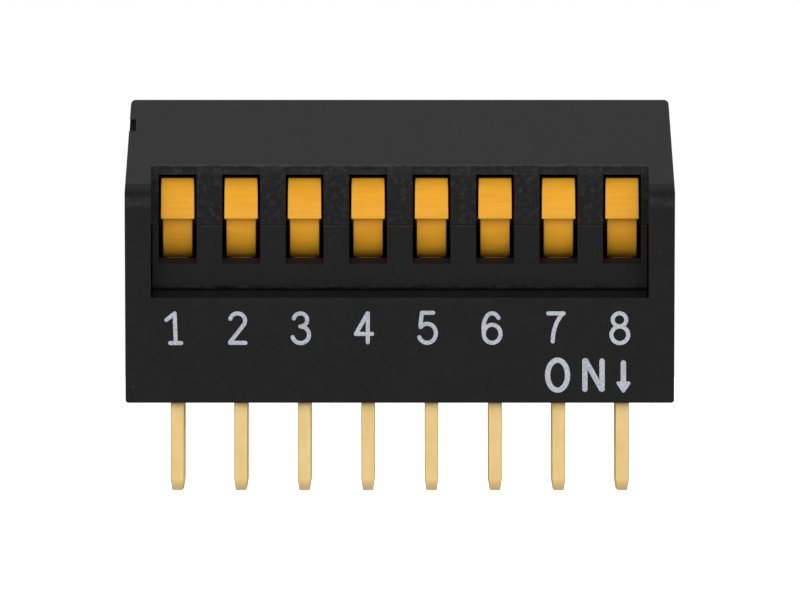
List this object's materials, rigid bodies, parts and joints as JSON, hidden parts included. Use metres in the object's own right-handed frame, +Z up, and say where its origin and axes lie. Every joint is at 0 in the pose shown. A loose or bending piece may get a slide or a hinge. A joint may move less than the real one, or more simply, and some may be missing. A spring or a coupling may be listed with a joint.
{
  "type": "piano dip switch",
  "caption": "Side-actuated piano DIP switch: a black case with a sloped top, a window showing a row of orange rocking levers, and rows of gold-plated pins for a circuit board.",
  "frame": {"origin": "centre of the case's underside, on the plane where it seats on the board; the pins reach below it", "axes": "+X along the row of levers, from lever 1 to the last, +Z up out of the board, levers and slope facing -Y"},
  "size_m": [0.022, 0.0098, 0.0156],
  "materials": {
    "case_black": "fine matt moulded thermoplastic",
    "base_black": "smooth moulded thermoplastic",
    "resin": "cured sealing resin",
    "lever_orange": "satin moulded thermoplastic",
    "spring_gold": "gold-plated spring strip",
    "pin_gold": "gold-plated, drawn smooth"
  },
  "bodies": {
    "root": {"case": "case_black", "base": "base_black", "sealing_resin": "resin", "front_terminal_1": "pin_gold", "front_terminal_2": "pin_gold", "front_terminal_3": "pin_gold", "front_terminal_4": "pin_gold", "front_terminal_5": "pin_gold", "front_terminal_6": "pin_gold", "front_terminal_7": "pin_gold", "front_terminal_8": "pin_gold", "rear_terminal_1": "pin_gold", "rear_terminal_2": "pin_gold", "rear_terminal_3": "pin_gold", "rear_terminal_4": "pin_gold", "rear_terminal_5": "pin_gold", "rear_terminal_6": "pin_gold", "rear_terminal_7": "pin_gold", "rear_terminal_8": "pin_gold"},
    "rocker_1": {"lever_1": "lever_orange", "wiper_1": "spring_gold"},
    "rocker_2": {"lever_2": "lever_orange", "wiper_2": "spring_gold"},
    "rocker_3": {"lever_3": "lever_orange", "wiper_3": "spring_gold"},
    "rocker_4": {"lever_4": "lever_orange", "wiper_4": "spring_gold"},
    "rocker_5": {"lever_5": "lever_orange", "wiper_5": "spring_gold"},
    "rocker_6": {"lever_6": "lever_orange", "wiper_6": "spring_gold"},
    "rocker_7": {"lever_7": "lever_orange", "wiper_7": "spring_gold"},
    "rocker_8": {"lever_8": "lever_orange", "wiper_8": "spring_gold"}
  },
  "joints": [
    {"name": "tilt_1", "type": "hinge", "parent": "root", "child": "rocker_1", "pos_m": [-0.00889, -0.00145, 0.00735], "axis": [1, 0, 0], "range_deg": [0, 48]},
    {"name": "tilt_2", "type": "hinge", "parent": "root", "child": "rocker_2", "pos_m": [-0.00635, -0.00145, 0.00735], "axis": [1, 0, 0], "range_deg": [0, 48]},
    {"name": "tilt_3", "type": "hinge", "parent": "root", "child": "rocker_3", "pos_m": [-0.00381, -0.00145, 0.00735], "axis": [1, 0, 0], "range_deg": [0, 48]},
    {"name": "tilt_4", "type": "hinge", "parent": "root", "child": "rocker_4", "pos_m": [-0.00127, -0.00145, 0.00735], "axis": [1, 0, 0], "range_deg": [0, 48]},
    {"name": "tilt_5", "type": "hinge", "parent": "root", "child": "rocker_5", "pos_m": [0.00127, -0.00145, 0.00735], "axis": [1, 0, 0], "range_deg": [0, 48]},
    {"name": "tilt_6", "type": "hinge", "parent": "root", "child": "rocker_6", "pos_m": [0.00381, -0.00145, 0.00735], "axis": [1, 0, 0], "range_deg": [0, 48]},
    {"name": "tilt_7", "type": "hinge", "parent": "root", "child": "rocker_7", "pos_m": [0.00635, -0.00145, 0.00735], "axis": [1, 0, 0], "range_deg": [0, 48]},
    {"name": "tilt_8", "type": "hinge", "parent": "root", "child": "rocker_8", "pos_m": [0.00889, -0.00145, 0.00735], "axis": [1, 0, 0], "range_deg": [0, 48]}
  ]
}
